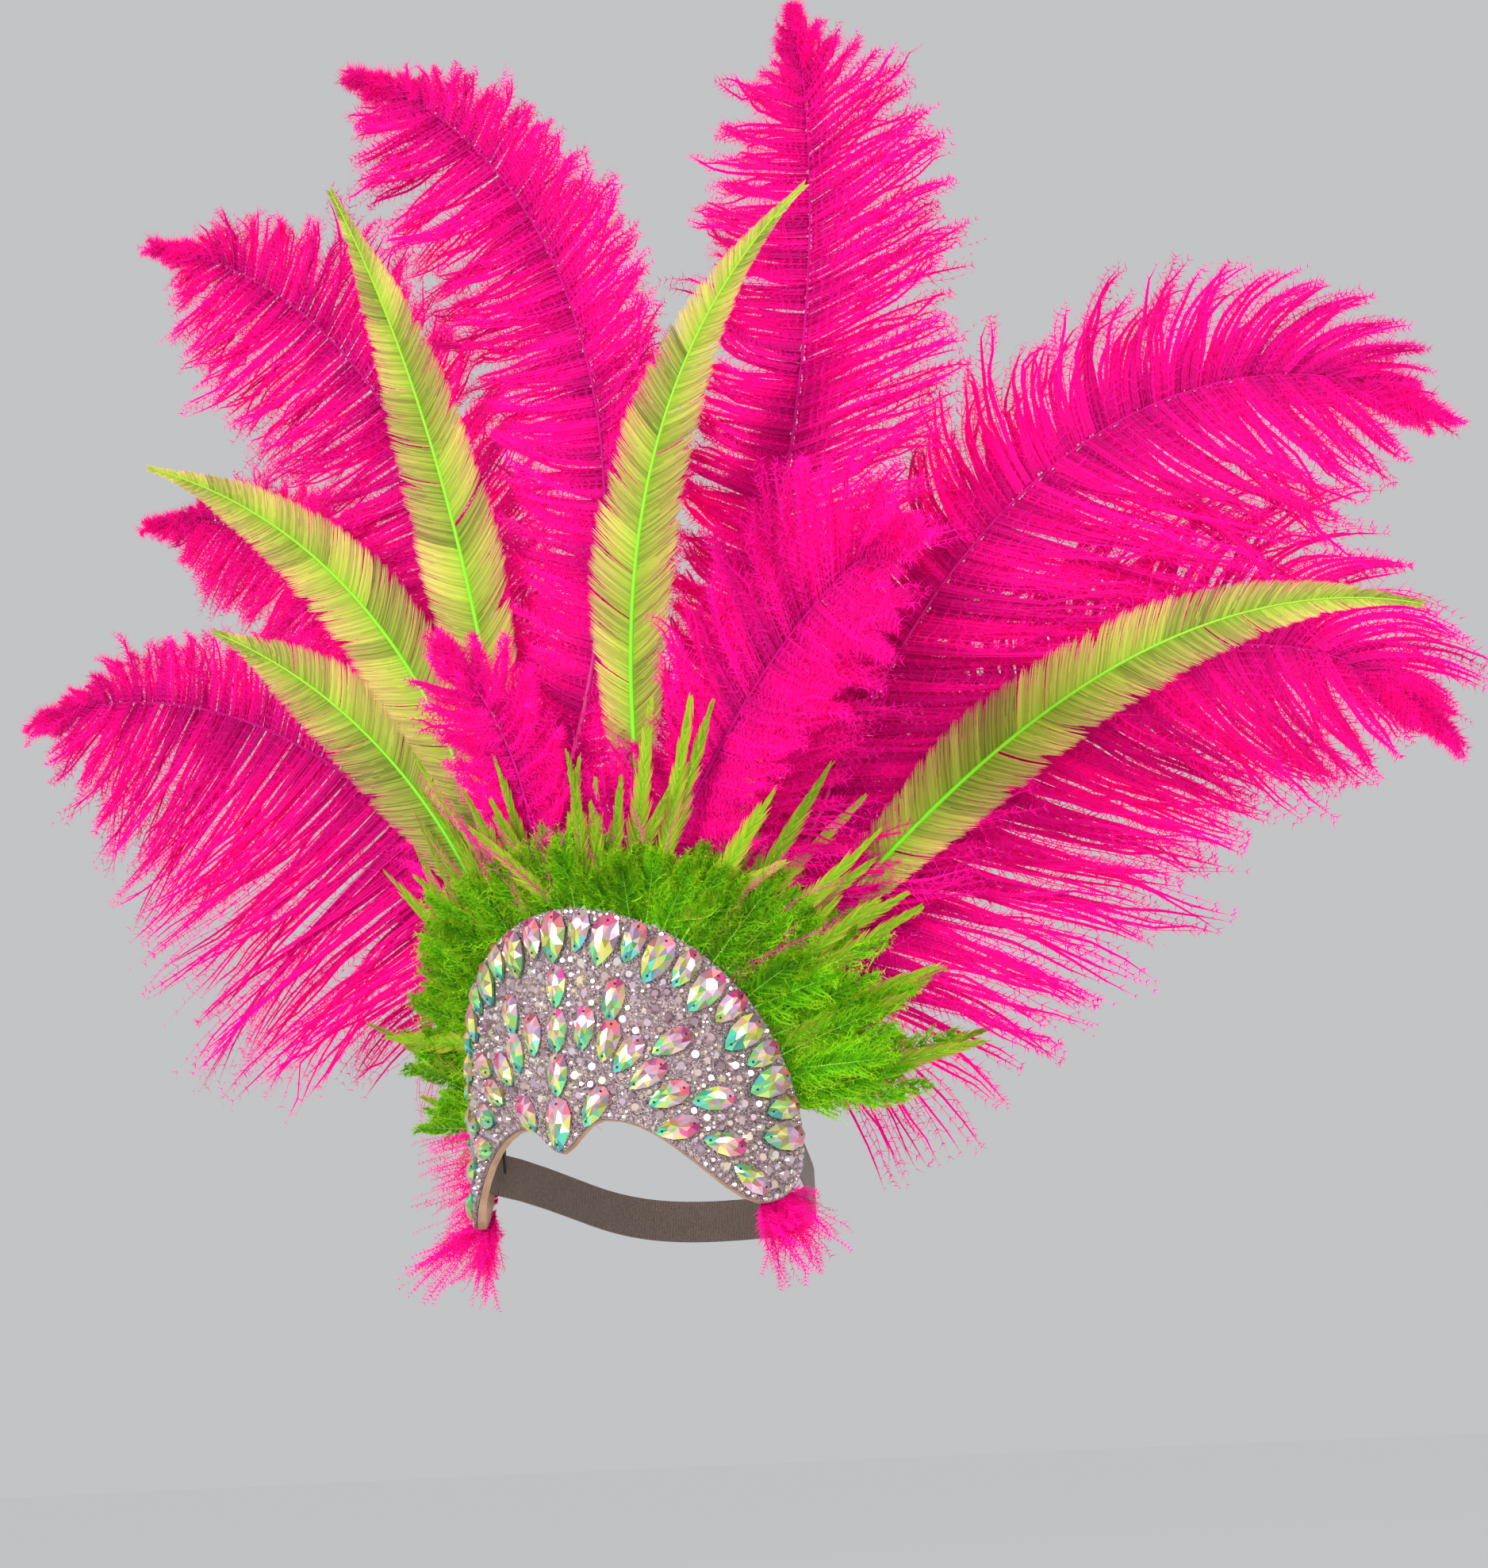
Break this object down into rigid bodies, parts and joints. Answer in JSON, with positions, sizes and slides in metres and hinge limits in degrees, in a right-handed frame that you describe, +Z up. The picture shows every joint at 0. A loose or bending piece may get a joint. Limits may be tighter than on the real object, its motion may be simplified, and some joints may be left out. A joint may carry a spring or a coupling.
{
  "type": "carnival feather headdress",
  "caption": "Carnival headdress: curved crown plate set with teardrop stones, a feather collar, tall ostrich plumes, trimmed quill feathers and an elastic band round the back of the head.",
  "frame": {"origin": "centre of the head opening, level with the tip of the plate's widow's peak", "axes": "+Z up as worn, -Y the wearer's front, +X the wearer's left"},
  "size_m": [0.9739, 0.3418, 0.8167],
  "materials": {
    "plate_leather": "tan leather with a cut edge",
    "rhinestones": "dense field of pale pink and champagne rhinestones",
    "cut_stone": "faceted teardrop with an iridescent coating",
    "holder_felt": "black felt",
    "elastic": "fine ribbed elastic",
    "collar_feather": "fluffy green feather",
    "magenta_feather": "dyed ostrich plume",
    "lime_feather": "trimmed quill feather"
  },
  "bodies": {
    "root": {"crown_plate": "plate_leather", "rhinestone_bed": "rhinestones", "quill_holder": "holder_felt", "elastic_band": "elastic", "fan_stone_centre": "cut_stone", "fan_stone_left_01": "cut_stone", "fan_stone_left_02": "cut_stone", "fan_stone_left_03": "cut_stone", "fan_stone_left_04": "cut_stone", "fan_stone_left_05": "cut_stone", "fan_stone_left_06": "cut_stone", "fan_stone_left_07": "cut_stone", "fan_stone_left_08": "cut_stone", "fan_stone_left_09": "cut_stone", "fan_stone_left_10": "cut_stone", "fan_stone_left_11": "cut_stone", "fan_stone_left_12": "cut_stone", "fan_stone_right_01": "cut_stone", "fan_stone_right_02": "cut_stone", "fan_stone_right_03": "cut_stone", "fan_stone_right_04": "cut_stone", "fan_stone_right_05": "cut_stone", "fan_stone_right_06": "cut_stone", "fan_stone_right_07": "cut_stone", "fan_stone_right_08": "cut_stone", "fan_stone_right_09": "cut_stone", "fan_stone_right_10": "cut_stone", "fan_stone_right_11": "cut_stone", "fan_stone_right_12": "cut_stone", "collar_feathers_top": "collar_feather", "collar_feathers_left_upper": "collar_feather", "collar_feathers_left_middle": "collar_feather", "collar_feathers_left_lower": "collar_feather", "collar_feathers_right_upper": "collar_feather", "collar_feathers_right_middle": "collar_feather", "collar_feathers_right_lower": "collar_feather", "plume_right_low": "magenta_feather", "plume_right_middle": "magenta_feather", "plume_right_upper": "magenta_feather", "plume_right_centre": "magenta_feather", "plume_left_centre": "magenta_feather", "plume_left_upper": "magenta_feather", "plume_left_low": "magenta_feather", "plume_front_curled": "magenta_feather", "plume_front_small": "magenta_feather", "temple_tuft_left": "magenta_feather", "temple_tuft_right": "magenta_feather", "lime_feather_right_low": "lime_feather", "lime_feather_right_middle": "lime_feather", "lime_feather_right_upper": "lime_feather", "lime_feather_left_upper": "lime_feather", "lime_feather_left_low": "lime_feather"}
  },
  "joints": []
}
